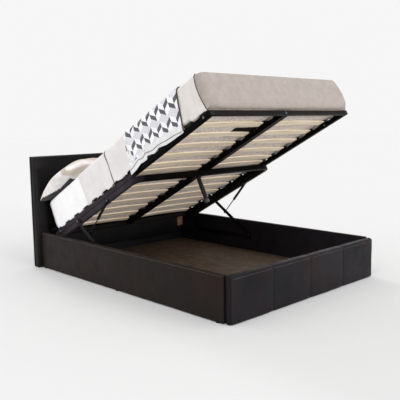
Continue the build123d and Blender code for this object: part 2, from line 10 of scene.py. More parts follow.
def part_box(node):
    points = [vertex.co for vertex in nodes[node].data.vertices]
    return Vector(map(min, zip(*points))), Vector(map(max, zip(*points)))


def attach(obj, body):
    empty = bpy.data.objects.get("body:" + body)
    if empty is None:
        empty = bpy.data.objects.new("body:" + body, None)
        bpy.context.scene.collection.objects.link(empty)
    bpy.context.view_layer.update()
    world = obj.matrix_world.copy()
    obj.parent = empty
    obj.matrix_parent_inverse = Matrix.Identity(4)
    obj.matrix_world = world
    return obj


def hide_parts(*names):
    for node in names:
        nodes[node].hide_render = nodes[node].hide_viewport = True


# An upholstered ottoman bed with its sleeping platform lifted open, in metres.
# X runs across the bed, +Y towards the headboard, +Z up.
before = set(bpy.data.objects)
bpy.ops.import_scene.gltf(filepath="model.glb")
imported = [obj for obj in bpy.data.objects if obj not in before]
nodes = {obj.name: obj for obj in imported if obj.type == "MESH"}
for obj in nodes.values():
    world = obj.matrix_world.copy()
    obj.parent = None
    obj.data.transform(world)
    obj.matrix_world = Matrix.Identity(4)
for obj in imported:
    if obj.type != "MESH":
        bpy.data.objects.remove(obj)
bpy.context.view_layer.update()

# The lifted platform: x across, u from its head end to its foot end, n up from its frame
platform_origin = Vector((0, 0.818, 0.253))
platform_tilt = 28
platform_place = Matrix.Translation(platform_origin) @ Matrix.Rotation(radians(-platform_tilt), 4, "X")
body_places = {"base": Matrix.Identity(4), "platform": platform_place}

# Camera and light
camera_place = (-3.020, -3.171, 1.101)
camera_lens = 54.387
camera_sensor = 36
camera_yaw = -44.005
camera_pitch = -7.449
camera_roll = -0.798
floor_half = 40
floor_tone = (215, 215, 215)
world_tone = (246, 246, 246)
# Strength, azimuth, elevation and spread of each soft far light; azimuth 0 shines along +Y, 90 along -X
suns = {
    "key_light": (1.0, -60, 50, 30),
    "fill_light": (0.5, 20, 25, 60),
    "rim_light": (0.5, 165, 35, 12),
    "low_light": (1.5, 0, 3.5, 6),
}


# Meshes
def platform_box(node):
    """Lowest and highest (x, u, n) of a node that lies on the platform."""
    back = platform_place.inverted()
    places = np.array([back @ v.co for v in nodes[node].data.vertices])
    places[:, 1] *= -1
    return places.min(0), places.max(0)


# Large unrelated numbers that scatter the values of a random field
scatter = np.array((12.99, 78.23, 37.72))
scatter_seed = 7.31
scatter_gain = 4375.85


def field(points, size, seed):
    """A smooth random field from -1 to 1 whose bumps are about one size wide."""
    spots = points / np.array(size) + seed * scatter_seed
    cell = np.floor(spots)
    part = spots - cell
    ease = part * part * (3 - 2 * part)
    total = np.zeros(len(points))
    for corner in itertools.product((0, 1), repeat=3):
        step = np.array(corner)
        mixed = np.sin((cell + step) @ scatter + seed) * scatter_gain
        value = 2 * (mixed - np.floor(mixed)) - 1
        total += value * np.prod(np.where(step, ease, 1 - ease), axis=1)
    return total


def bumps(points, seed, *layers):
    """Random bumps in layers: the height and the width of each, and how far it is lifted, in heights."""
    total = 0
    for k, (height, width, lift) in enumerate(layers):
        total = total + height * (lift + field(points, width, seed + k))
    return total


def between(values, low, high):
    """0 below low, 1 above high, and a smooth step between."""
    t = np.clip((values - low) / (high - low), 0, 1)
    return t * t * (3 - 2 * t)


def curve_through(spots):
    """A line through places and their values, as a function of place."""
    at = np.array([spot[0] for spot in spots])
    value = np.array([spot[1] for spot in spots])
    return lambda x: np.interp(x, at, value)


def grid_faces(rows, columns, closed=False):
    """Quads between the points of a grid, whose rows may be closed loops."""
    steps = columns if closed else columns - 1
    i, j = np.meshgrid(np.arange(rows - 1), np.arange(steps), indexing="ij")
    right = (j + 1) % columns
    corners = (i * columns + j, i * columns + right, (i + 1) * columns + right, (i + 1) * columns + j)
    return np.stack(corners, -1).reshape(-1, 4)


def stack_faces(rows, columns):
    """Faces of a stack of closed rings, with a cap on each end."""
    faces = [list(f) for f in grid_faces(rows, columns, closed=True)]
    return faces + [list(range(columns))[::-1], [(rows - 1) * columns + i for i in range(columns)]]


def add_object(name, data):
    thing = bpy.data.objects.new(name, data)
    bpy.context.scene.collection.objects.link(thing)
    return thing


def add_piece(name, points, faces, finish, body, uvs=None):
    """A smooth mesh that rides on a body. Its points are in the directions of that body."""
    mesh = bpy.data.meshes.new(name)
    mesh.from_pydata(np.asarray(points).tolist(), [], [list(map(int, f)) for f in faces])
    mesh.polygons.foreach_set("use_smooth", np.ones(len(mesh.polygons), bool))
    if uvs is not None:
        layer = mesh.uv_layers.new(name="flat_cloth")
        corners = np.empty(len(mesh.loops), int)
        mesh.loops.foreach_get("vertex_index", corners)
        layer.data.foreach_set("uv", np.asarray(uvs, np.float32)[corners].ravel())
    mesh.validate()
    for each in [finish] if isinstance(finish, str) else finish:
        mesh.materials.append(finishes[each])
    piece = add_object(name, mesh)
    piece.matrix_world = body_places[body]
    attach(piece, body)
    return piece


def mesh_points(piece):
    points = np.empty(len(piece.data.vertices) * 3)
    piece.data.vertices.foreach_get("co", points)
    return points.reshape(-1, 3)


def mesh_normals(piece):
    normals = np.empty(len(piece.data.vertices) * 3, np.float32)
    piece.data.vertex_normals.foreach_get("vector", normals)
    return normals.reshape(-1, 3).astype(float)


def set_points(piece, points):
    piece.data.vertices.foreach_set("co", points.ravel())
    piece.data.update()


def push_out(piece, amounts):
    """Moves each point of a mesh along its normal."""
    set_points(piece, mesh_points(piece) + mesh_normals(piece) * np.asarray(amounts)[:, None])


def face_outwards(piece):
    """Turns the faces of a closed mesh outwards."""
    mesh = piece.data
    mesh.calc_loop_triangles()
    corners = np.empty(len(mesh.loop_triangles) * 3, int)
    mesh.loop_triangles.foreach_get("vertices", corners)
    a, b, c = mesh_points(piece)[corners.reshape(-1, 3)].transpose(1, 0, 2)
    if (a * np.cross(b, c)).sum() < 0:
        mesh.flip_normals()


def recalculate(piece):
    """Makes all faces of a closed mesh turn the same way, outwards."""
    work = bmesh.new()
    work.from_mesh(piece.data)
    bmesh.ops.recalc_face_normals(work, faces=work.faces)
    work.to_mesh(piece.data)
    work.free()


def ring(half_a, half_b, radius, counts):
    """A rectangle with round corners, as points; counts are steps on a corner and on two sides."""
    corner_steps, steps_a, steps_b = counts
    points = []
    signs = ((1, 1), (-1, 1), (-1, -1), (1, -1))
    centres = [(a * (half_a - radius), b * (half_b - radius)) for a, b in signs]
    for k, (ca, cb) in enumerate(centres):
        for i in range(corner_steps + 1):
            angle = pi / 2 * (k + i / corner_steps)
            points.append((ca + radius * cos(angle), cb + radius * sin(angle)))
        start = points[-1]
        na, nb = centres[(k + 1) % 4]
        end = (na + radius * cos(angle), nb + radius * sin(angle))
        steps = steps_a if k % 2 == 0 else steps_b
        for i in range(1, steps):
            share = i / steps
            points.append((start[0] + share * (end[0] - start[0]), start[1] + share * (end[1] - start[1])))
    return np.array(points)


def ring_rows(levels, along, halves, middles, radius, least, counts):
    """Rings of points along one axis. Each level is a place on it and how far its ring is inset."""
    rows = []
    for t, inset in levels:
        outline = ring(halves[0] - inset, halves[1] - inset, max(radius - inset, least), counts)
        rows.append(np.roll(np.column_stack((np.full(len(outline), t), outline + middles)), along, axis=1))
    return rows


def block_levels(start, end, insets, edge, steps, middle):
    """Levels of a block with round edges: its first cap and edge, its sides, its last edge and cap."""
    turns = np.linspace(0, pi / 2, steps)[1:]
    edges = [(edge * (1 - cos(t)), edge * (1 - sin(t))) for t in turns]
    first = [(start, inset) for inset in insets] + [(start + rise, inset) for rise, inset in edges]
    last = [(end - rise, inset) for rise, inset in edges[::-1]] + [(end, inset) for inset in insets[::-1]]
    return first + [(t, 0) for t in middle] + last


# Points on the round edges of a slab, and closer points near its fine places
edge_steps = 6
core_share = 0.96
least_radius = 0.0004
fine_spacing = 0.0015
fine_steps = 8
fine_reach = 0.013


def slab(name, low, high, along, form, finish, body, fine=(), cap_step=0.006):
    """A box with round edges, as rings of points along one axis, dense near the fine places.

    Its form is the radius of its long edges, the radius of its end edges and the spacing of its points.
    """
    radius, end_radius, spacing = form
    low, high = np.array(low, float), np.array(high, float)
    axes = [(along + 1) % 3, (along + 2) % 3]
    halves, middles = (high - low)[axes] / 2, (low + high)[axes] / 2
    counts = (edge_steps, *(max(2, int(2 * half / spacing)) for half in halves))
    start, end = low[along], high[along]
    depth = min(halves) * core_share
    insets = np.linspace(depth, end_radius, max(2, int((depth - end_radius) / cap_step)))
    middle = np.arange(start + end_radius + spacing, end - end_radius - spacing / 2, spacing)
    extra = [spot + step * fine_spacing for spot in fine for step in range(-fine_steps, fine_steps + 1)]
    kept = [t for t in middle if all(abs(t - spot) > fine_reach for spot in fine)]
    levels = block_levels(start, end, insets, end_radius, edge_steps, sorted(kept + extra))
    rows = ring_rows(levels, along, halves, middles, radius, least_radius, counts)
    faces = stack_faces(len(rows), len(rows[0]))
    piece = add_piece(name, np.concatenate(rows), faces, finish, body)
    face_outwards(piece)
    return piece


# A direction that no cord runs along
cord_guide = np.array((0.31, 0.17, 0.93))


def tube(name, path, radius, finish, sides=6):
    """A round cord on the platform, along a path of points."""
    path = np.array(path, float)
    ahead = np.roll(path, -1, 0) - np.roll(path, 1, 0)
    ahead[0], ahead[-1] = path[1] - path[0], path[-1] - path[-2]
    ahead /= np.linalg.norm(ahead, axis=1)[:, None]
    turns = np.arange(sides) * 2 * pi / sides
    rows = []
    for point, way in zip(path, ahead):
        side = np.cross(way, cord_guide)
        side /= np.linalg.norm(side)
        up = np.cross(side, way)
        rows.append(point + radius * (np.cos(turns)[:, None] * side + np.sin(turns)[:, None] * up))
    faces = stack_faces(len(rows), sides)
    face_outwards(add_piece(name, np.concatenate(rows), faces, finish, "platform"))


# A sewn stitch, and how its width and depth change from its middle to its ends
stitch_length = 0.006
stitch_pitch = 0.010
stitch_radius = 0.0006
stitch_sides = 6
stitch_shares = np.array((-1, -0.8, -0.35, 0.35, 0.8, 1))
stitch_widths = np.array((0.25, 0.8, 1, 1, 0.8, 0.25))
stitch_rise = 0.4
stitch_dip = 1.2


def stitches(name, runs):
    """Rows of sewn stitches in light thread, which also paint a dashed highlight. Each run is a start, an
    end and the way that the surface faces.
    """
    points, faces = [], []
    turns = np.arange(stitch_sides) * 2 * pi / stitch_sides
    for start, end, out in runs:
        start, end, out = (np.array(v, float) for v in (start, end, out))
        reach = np.linalg.norm(end - start)
        way = (end - start) / reach
        out = out / np.linalg.norm(out)
        side = np.cross(way, out)
        for i in range(int(reach / stitch_pitch)):
            middle = start + way * (i + 0.5) * stitch_pitch
            base = len(points)
            for share, width in zip(stitch_shares, stitch_widths):
                sunk = out * stitch_radius * (stitch_rise - stitch_dip * abs(share) ** 3)
                for turn in turns:
                    around = (cos(turn) * side + sin(turn) * out) * stitch_radius * width
                    points.append(middle + way * share * stitch_length / 2 + sunk + around)
            faces += [[base + k for k in f] for f in stack_faces(len(stitch_shares), stitch_sides)]
    add_piece(name, points, faces, "thread", "base")


# Materials
def tone(red, green, blue):
    """A colour on the usual 0 to 255 scale, as the shader wants it."""
    values = [c / 255 for c in (red, green, blue)]
    return (*[c / 12.92 if c <= 0.04045 else ((c + 0.055) / 1.055) ** 2.4 for c in values], 1)


def darker(colour, share):
    return tone(*[c * share for c in colour])


# Scale of a wave texture whose bands are one unit apart, and how its threads wander and stand up
wave_scale = 3.14
thread_waver = 0.4
weave_strength = 0.5


class Finish:
    """A procedural material that is built up node by node."""

    def __init__(self, name, specular=0.5, sheen=0.0, metallic=0.0, coordinates="Object"):
        self.material = bpy.data.materials.new(name)
        self.material.use_nodes = True
        self.tree = self.material.node_tree
        self.shader = self.tree.nodes["Principled BSDF"]
        self.shader.inputs["Specular IOR Level"].default_value = specular
        self.shader.inputs["Sheen Weight"].default_value = sheen
        self.shader.inputs["Metallic"].default_value = metallic
        self.places = self.add("ShaderNodeTexCoord").outputs[coordinates]
        self.normal = None

    def add(self, kind, inputs=None, **settings):
        node = self.tree.nodes.new(kind)
        for key, value in settings.items():
            setattr(node, key, value)
        for key, value in (inputs or {}).items():
            if isinstance(value, bpy.types.NodeSocket):
                self.tree.links.new(value, node.inputs[key])
            else:
                node.inputs[key].default_value = value
        return node

    def math(self, operation, *values):
        return self.add("ShaderNodeMath", dict(enumerate(values)), operation=operation).outputs[0]

    def split(self, vector):
        return self.add("ShaderNodeSeparateXYZ", {"Vector": vector}).outputs

    def stretched(self, stretch):
        return self.add("ShaderNodeMapping", {"Vector": self.places, "Scale": stretch}).outputs[0]

    def noise(self, size, detail, stretch=(1, 1, 1), roughness=0.5):
        inputs = {"Vector": self.stretched(stretch), "Scale": 1 / size, "Detail": detail}
        inputs["Roughness"] = roughness
        return self.add("ShaderNodeTexNoise", inputs).outputs[0]

    def cells(self, size, stretch=(1, 1, 1)):
        inputs = {"Vector": self.stretched(stretch), "Scale": 1 / size}
        return self.add("ShaderNodeTexVoronoi", inputs).outputs["Distance"]

    def threads(self, size, direction):
        inputs = {"Vector": self.stretched((1, 1, 1)), "Scale": 1 / size / wave_scale}
        inputs["Distortion"] = thread_waver
        return self.add("ShaderNodeTexWave", inputs, bands_direction=direction).outputs["Fac"]

    def blend(self, share, first, second):
        node = self.add("ShaderNodeMix", {0: share, 6: first, 7: second}, data_type="RGBA")
        return node.outputs[2]

    def ramp(self, value, low, high, out_low=0.0, out_high=1.0):
        keys = ("Value", "From Min", "From Max", "To Min", "To Max")
        inputs = dict(zip(keys, (value, low, high, out_low, out_high)))
        return self.add("ShaderNodeMapRange", inputs, clamp=True).outputs[0]

    def mottled(self, first, second, size, detail, low=0.35, high=0.65):
        """Soft patches of two colours."""
        return self.blend(self.ramp(self.noise(size, detail), low, high), tone(*first), tone(*second))

    def uneven(self, size, detail, low, high):
        """A value that wanders between two others."""
        return self.ramp(self.noise(size, detail), 0.3, 0.7, low, high)

    def bump(self, height, distance, strength):
        inputs = {"Height": height, "Distance": distance, "Strength": strength}
        if self.normal is not None:
            inputs["Normal"] = self.normal
        self.normal = self.add("ShaderNodeBump", inputs).outputs[0]

    def weave(self, size, directions, distance):
        """Threads that cross each other."""
        height = self.threads(size, directions[0])
        for direction in directions[1:]:
            height = self.math("ADD", height, self.threads(size, direction))
        self.bump(height, distance, weave_strength)

    def done(self, colour, roughness):
        for key, value in (("Base Color", colour), ("Roughness", roughness), ("Normal", self.normal)):
            if value is not None:
                self.tree.links.new(value, self.shader.inputs[key])
        return self.material


def leather(name, dark, light, red, specular=0.12):
    """Coated leather cloth: fine pebbled grain, faint creases and dull worn patches."""
    f = Finish(name, specular)
    colour = f.mottled(dark, light, size=0.35, detail=3)
    warm = f.ramp(f.noise(size=0.22, detail=2), low=0.45, high=0.75)
    colour = f.blend(f.math("MULTIPLY", warm, 0.6), colour, tone(*red))
    f.bump(f.ramp(f.cells(size=0.0021), low=0.0, high=0.6), distance=0.00035, strength=0.55)
    f.bump(f.noise(size=0.0007, detail=2), distance=0.00012, strength=0.4)
    f.bump(f.noise(size=0.035, detail=4), distance=0.0015, strength=0.5)
    return f.done(colour, f.uneven(size=0.06, detail=4, low=0.36, high=0.52))


# A soft band woven across each pillow, in the cloth's flat directions
band_middle = -0.200
band_width = 0.048
band_core = 0.45


def fabric(name, base, shade, patch=0.05, thread=0.0011, sheen=0.15, mottle=0.0, speck=None, band=None):
    """Woven cloth: crossed threads, soft patches and, if named, mottled or specked yarn or a band."""
    f = Finish(name, specular=0.15, sheen=sheen)
    colour = f.mottled(base, shade, size=patch, detail=4)
    if mottle:
        yarn = f.ramp(f.noise(size=0.006, detail=4, roughness=0.7), low=0.42, high=0.6)
        colour = f.blend(f.math("MULTIPLY", yarn, mottle), colour, darker(shade, 0.8))
    if speck:
        dots = f.ramp(f.cells(size=0.019, stretch=(1, 1.7, 1)), low=0.22, high=0.34, out_low=1, out_high=0)
        patches = f.ramp(f.noise(size=0.07, detail=3), low=0.42, high=0.62, out_low=0.35)
        colour = f.blend(f.math("MULTIPLY", dots, patches), colour, tone(*speck))
    if band:
        down = f.split(f.add("ShaderNodeUVMap", uv_map="flat_cloth").outputs[0])[1]
        away = f.math("ABSOLUTE", f.math("SUBTRACT", down, band_middle))
        share = f.ramp(away, band_width * band_core, band_width, out_low=1, out_high=0)
        yarn = f.noise(size=0.004, detail=3, roughness=0.7)
        grain = f.ramp(yarn, low=0.3, high=0.7, out_low=0.55, out_high=0.95)
        colour = f.blend(f.math("MULTIPLY", share, grain), colour, tone(*band))
    f.weave(thread, "XY" if band else "XYZ", distance=0.0004)
    f.bump(f.noise(size=0.02, detail=4), distance=0.002, strength=0.35)
    return f.done(colour, f.uneven(size=0.03, detail=2, low=0.82, high=0.95))


def wood(name, pale, dark, grain=0.08, size=0.02, along=0.3):
    """Planed wood whose grain runs along X."""
    f = Finish(name, specular=0.35)
    rings = f.noise(size, detail=5, stretch=(grain, 1, 1), roughness=0.6)
    fibres = f.noise(size=0.0025, detail=3, stretch=(0.02, 1, 1), roughness=0.7)
    colour = f.blend(f.ramp(rings, low=0.35, high=0.68), tone(*pale), tone(*dark))
    lines = f.math("MULTIPLY", f.ramp(fibres, low=0.5, high=0.8), along)
    colour = f.blend(lines, colour, darker(dark, 0.72))
    f.bump(fibres, distance=0.0004, strength=0.35)
    return f.done(colour, f.ramp(fibres, low=0.2, high=0.8, out_low=0.45, out_high=0.65))


def board(name, pale, dark):
    """Pressed board: short crossed fibres and a dull, slightly burnished face."""
    f = Finish(name, specular=0.25)
    fibres = f.noise(size=0.004, detail=4, stretch=(1, 0.4, 1), roughness=0.7)
    colour = f.mottled(pale, dark, size=0.09, detail=4)
    lines = f.math("MULTIPLY", f.ramp(fibres, low=0.45, high=0.7), 0.4)
    colour = f.blend(lines, colour, darker(dark, 0.75))
    f.bump(fibres, distance=0.0003, strength=0.4)
    return f.done(colour, f.uneven(size=0.05, detail=3, low=0.5, high=0.7))


# Where along Y the near side tube turns from its shaded to its lit colour
steel_fade_y = (-0.17, -0.09)


def powder_coat(name, base, light, specular, foot=None):
    """Powder-coated steel: orange-peel texture and rubbed patches; foot, if given, is the painted shade
    colour of its foot half.
    """
    f = Finish(name, specular)
    colour = f.mottled(base, light, size=0.08, detail=4, low=0.4, high=0.7)
    if foot:
        share = f.ramp(f.split(f.places)[1], *steel_fade_y)
        colour = f.blend(share, tone(*foot), colour)
    f.bump(f.noise(size=0.0022, detail=2), distance=0.0002, strength=0.45)
    return f.done(colour, f.uneven(size=0.04, detail=3, low=0.38, high=0.55))


def bright_metal(name, base, dark, dull=0.36):
    """Plated or drawn metal with fine scratches."""
    f = Finish(name, metallic=1.0)
    scratches = f.noise(size=0.002, detail=3, stretch=(0.1, 1, 1), roughness=0.6)
    colour = f.mottled(base, dark, size=0.01, detail=3, high=0.7)
    f.bump(scratches, distance=0.0001, strength=0.3)
    return f.done(colour, f.ramp(scratches, low=0.3, high=0.7, out_low=0.2, out_high=dull))


def plastic(name, base, light):
    """Moulded plastic with a fine spark-eroded texture."""
    f = Finish(name, specular=0.2)
    colour = f.mottled(base, light, size=0.03, detail=3, high=0.7)
    f.bump(f.noise(size=0.0009, detail=2), distance=0.00015, strength=0.4)
    return f.done(colour, f.uneven(size=0.01, detail=3, low=0.4, high=0.55))


# Chevrons of the throw, in its flat directions
chevron_turn = 5
chevron_period = 0.090
chevron_pitch = 0.098
chevron_rise = 0.028
chevron_dark = 0.028
chevron_start = 0.0031
chevron_stagger = 0.027
chevron_first_row = 0.5384
chevron_low_half = 0.66


def chevron_cloth(name, dark, white, grey):
    """Woven cloth with staggered chevrons in dark and light grey on white."""
    f = Finish(name, specular=0.12, sheen=0.15, coordinates="UV")
    along, down = f.split(f.places)[:2]
    c, s = cos(radians(chevron_turn)), sin(radians(chevron_turn))
    a = f.math("ADD", f.math("MULTIPLY", along, c), f.math("MULTIPLY", down, s))
    b = f.math("SUBTRACT", f.math("MULTIPLY", down, c), f.math("MULTIPLY", along, s))
    head_margin = (chevron_pitch - chevron_rise - 2 * chevron_dark) / 2
    below = f.math("SUBTRACT", b, chevron_first_row - head_margin)
    row_number = f.math("FLOOR", f.math("DIVIDE", below, chevron_pitch))
    stagger = f.math("MULTIPLY", row_number, chevron_stagger)
    shifted = f.math("ADD", f.math("SUBTRACT", a, chevron_start), stagger)
    phase = f.math("FRACT", f.math("DIVIDE", shifted, chevron_period))
    second_leg = f.math("GREATER_THAN", phase, 0.5)
    bend = f.math("ABSOLUTE", f.math("SUBTRACT", f.math("MULTIPLY", phase, 2), 1))
    drop = f.math("MULTIPLY", second_leg, chevron_dark)
    line = f.math("ADD", f.math("MULTIPLY", bend, chevron_rise), drop)
    depth = f.math("SUBTRACT", f.math("SUBTRACT", b, chevron_first_row), line)
    row = f.math("FRACT", f.math("DIVIDE", depth, chevron_pitch))
    is_dark = f.math("LESS_THAN", row, chevron_dark / chevron_pitch)
    low_half = f.math("GREATER_THAN", row, chevron_low_half)
    is_grey = f.math("ABSOLUTE", f.math("SUBTRACT", low_half, second_leg))
    light = f.blend(is_grey, tone(*white), tone(*grey))
    colour = f.blend(is_dark, light, tone(*dark))
    yarn = f.noise(size=0.0022, detail=3, roughness=0.7)
    colour = f.blend(f.ramp(yarn, low=0.45, high=0.75, out_high=0.12), colour, tone(128, 128, 132))
    f.weave(0.0016, "XY", distance=0.0005)
    return f.done(colour, f.uneven(size=0.03, detail=2, low=0.8, high=0.95))


finishes = {
    "leather": leather("faux_leather", (24, 18, 15), (31, 23, 19), (37, 21, 18)),
    # Darker copies of the one faux leather as painted shade: a cooler one for the foot panel and a near
    # black one for the headboard under the lifted platform
    "leather_foot": leather("faux_leather_foot", (13, 13, 16), (27, 24, 27), (36, 19, 18), 0.1),
    "leather_dark": leather("faux_leather_headboard", (8, 7, 8), (15, 13, 14), (18, 14, 15)),
    # Light grey thread: stitches that also paint the dashed highlight along the top front edges of the
    # panels
    "thread": fabric("sewing_thread", (150, 146, 142), (110, 106, 104), 0.004, 0.0004),
    "lining": board("black_lining", (16, 14, 18), (24, 21, 27)),
    "hardboard": board("hardboard", (92, 76, 62), (74, 60, 48)),
    "block": wood("stained_pine", (128, 96, 72), (98, 70, 50)),
    "pine": wood("pine", (196, 158, 112), (150, 108, 66)),
    "slat": wood("birch_slat", (240, 226, 202), (214, 194, 165), 0.12, 0.03, 0.35),
    "steel": powder_coat("charcoal_steel", (30, 26, 30), (44, 38, 44), 0.25),
    # Lit and shaded copies of one charcoal powder coat: the darker ones are painted shade for frame tubes
    # in shade, the near side copy is painted lit and fades to painted shade at its foot
    "steel_painted_shade": powder_coat("charcoal_steel_dark", (12, 10, 10), (22, 18, 17), 0.08),
    "steel_painted_deep_shade": powder_coat("charcoal_steel_black", (4, 3, 3), (9, 7, 7), 0.04),
    "steel_painted_lit_near": powder_coat("charcoal_steel_near", (48, 43, 48), (60, 54, 60), 0.04, (3, 2, 2)),
    # Near black beads along the joint of side tube and lift rail: painted shade in the gap between them
    "seam_black": powder_coat("weld_black", (6, 5, 6), (12, 11, 12), 0.1),
    "black_steel": powder_coat("black_steel", (7, 6, 6), (16, 14, 14), 0.12),
    "zinc": bright_metal("zinc_steel", (120, 120, 124), (78, 78, 82)),
    "rod": bright_metal("strut_rod", (44, 44, 48), (28, 28, 32), dull=0.32),
    "plastic": plastic("black_plastic", (8, 7, 8), (15, 14, 15)),
    "grey_plastic": plastic("grey_plastic", (84, 82, 84), (66, 64, 68)),
    "felt": fabric("black_felt", (8, 7, 7), (15, 13, 13), 0.02, 0.002, sheen=0.0),
    "border": fabric("mattress_border", (226, 221, 217), (217, 211, 207), 0.06, 0.0014),
    "end_border": fabric("mattress_end", (161, 152, 146), (152, 143, 137), 0.05, 0.0018, mottle=0.35),
    "quilt": fabric("mattress_top", (240, 236, 230), (228, 222, 214), 0.05, 0.0014),
    "damask": fabric(
        "mattress_underside", (214, 201, 190), (196, 181, 171), 0.03, 0.0014, speck=(70, 54, 48)
    ),
    "piping": fabric("piping", (74, 66, 64), (54, 48, 46), 0.01, 0.0008),
    "sheet": fabric("white_sheet", (252, 252, 252), (246, 246, 248), 0.08, 0.0009),
    "cover": fabric("beige_cover", (231, 227, 226), (223, 218, 217), 0.09, 0.0012),
    "throw": chevron_cloth("chevron_throw", (92, 90, 96), (248, 248, 250), (221, 221, 226)),
    "throw_hem": fabric("throw_hem", (232, 232, 232), (222, 222, 223), 0.03, 0.0014),
    "pillow": fabric("pillow_cloth", (237, 233, 230), (228, 222, 218), 0.07, band=(182, 168, 150)),
    # Painted shade: a dark grey cloth on the inner underside of each pillow, where it lies in shade
    "pillow_back": fabric("pillow_back", (62, 60, 64), (44, 42, 46), 0.03, 0.0016, mottle=0.4),
}


# Studio
def make_camera():
    data = bpy.data.cameras.new("camera")
    data.lens = camera_lens
    data.sensor_width = camera_sensor
    camera = add_object("camera", data)
    turn = Matrix.Rotation(radians(camera_yaw), 4, "Z")
    turn = turn @ Matrix.Rotation(radians(90 + camera_pitch), 4, "X")
    turn = turn @ Matrix.Rotation(radians(camera_roll), 4, "Z")
    camera.matrix_world = Matrix.Translation(camera_place) @ turn
    bpy.context.scene.camera = camera


def make_lights():
    world = bpy.data.worlds.new("studio")
    world.use_nodes = True
    world.node_tree.nodes["Background"].inputs["Color"].default_value = tone(*world_tone)
    bpy.context.scene.world = world
    bpy.context.scene.view_settings.view_transform = "Standard"
    for name, (strength, azimuth, elevation, spread) in suns.items():
        data = bpy.data.lights.new(name, "SUN")
        data.energy = strength
        data.angle = radians(spread)
        sun = add_object(name, data)
        a, e = radians(azimuth), radians(elevation)
        source = Vector((sin(a) * cos(e), -cos(a) * cos(e), sin(e)))
        sun.rotation_mode = "QUATERNION"
        sun.rotation_quaternion = source.to_track_quat("Z", "Y")


def make_floor():
    half = floor_half
    corners = [(-half, -half, 0), (half, -half, 0), (half, half, 0), (-half, half, 0)]
    mesh = bpy.data.meshes.new("floor")
    mesh.from_pydata(corners, [], [(0, 1, 2, 3)])
    floor = add_object("floor", mesh)
    f = Finish("studio_floor", specular=0.0)
    colour = f.blend(f.noise(size=3, detail=2), tone(*floor_tone), tone(*[c - 1 for c in floor_tone]))
    mesh.materials.append(f.done(colour, f.ramp(f.noise(size=2, detail=2), low=0, high=1, out_low=0.9)))


# Upholstered panels, with the unevenness of cloth drawn over foam
crease_layers = ((0.0011, (0.20, 0.24, 0.11), 0), (0.0004, 0.05, 0), (0.00015, 0.018, 0))


def creases(points, seed, deep=1.0):
    return deep * bumps(points, seed, *crease_layers)


def pleats(at, away, height, pitch, reach, phase=0):
    """Small pleats along a seam: their height, their pitch and how far they reach from it."""
    return height * np.sin(2 * pi * at / pitch + phase) * np.exp(-away / reach)


headboard_crown = 0.004
headboard_crown_reach = 0.12
headboard_front_depths = (0.036, 0.044)
headboard_pleats = (0.0007, 0.034, 0.02)


def headboard():
    low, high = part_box("headboard_pad")
    form = (0.012, 0.009, 0.013)
    # Painted shade: the headboard takes a near black copy of the rails' leather
    pad = slab("headboard_front_pad", low, high, 0, form, "leather_dark", "base")
    points = mesh_points(pad)
    at_front = between(high.y - points[:, 1], *headboard_front_depths)
    rim = np.minimum(points[:, 0] - low.x, high.x - points[:, 0])
    rim = np.minimum(rim, np.minimum(points[:, 2] - low.z, high.z - points[:, 2]))
    crown = headboard_crown * between(rim, 0, headboard_crown_reach) * at_front
    puckers = pleats(points[:, 0] + points[:, 2], rim, *headboard_pleats) * at_front
    push_out(pad, creases(points, 3) + crown + puckers)
    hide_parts("headboard_pad")
    low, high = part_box("headboard_board")
    form = (0.004, 0.005, 0.016)
    back = slab("headboard_back_board", low, high, 0, form, "leather_dark", "base")
    push_out(back, creases(mesh_points(back), 7, 0.5))
    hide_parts("headboard_board")


rail_form = (0.007, 0.004, 0.010)
rail_crown = 0.0025
rail_crown_reach = 0.06
rail_inside_creases = 0.2
rail_stitch_drop = 0.011
rail_stitch_end = 0.01


def side_rails():
    for side, sign in (("left", -1), ("right", 1)):
        low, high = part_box(f"side_rail_{side}")
        rail = slab(f"side_rail_cover_{side}", low, high, 1, rail_form, "leather", "base")
        points = mesh_points(rail)
        inner_face, outer_face = sorted((abs(low.x), abs(high.x)))
        outer = between(sign * points[:, 0], (inner_face + outer_face) / 2, outer_face)
        rim = np.minimum(points[:, 2] - low.z, high.z - points[:, 2])
        crown = rail_crown * between(rim, 0, rail_crown_reach) * outer
        push_out(rail, creases(points, 11 + sign) * np.where(outer > 0.5, 1, rail_inside_creases) + crown)
        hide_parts(f"side_rail_{side}")
        x = sign * (outer_face + stitch_radius)
        z = high.z - rail_stitch_drop
        run = ((x, low.y + rail_stitch_end, z), (x, high.y - rail_stitch_end, z), (sign, 0, 0.2))
        stitches(f"rail_stitches_{side}", [run])


foot_sections = 4
foot_form = (0.009, 0.006, 0.011)
foot_cap_step = 0.004
# How far the sections crown, and how far in from the inner face they lie flat
foot_crown = 0.003
foot_flat_depth = 0.012
foot_seam_depth = 0.0045
foot_seam_half = 0.0035
foot_pleats = (0.0008, 0.021, 0.016)
# The two ends swell between their piped grooves
foot_end_depth = 0.003
foot_end_swell = 0.006
foot_end_groove = 0.005
foot_end_groove_at = 0.72
foot_end_groove_half = 0.10
foot_stitch_drop = 0.013
foot_stitch_end = 0.012
foot_stitch_proud = 0.0030
seam_stitch_half = (0.005, 0.004)


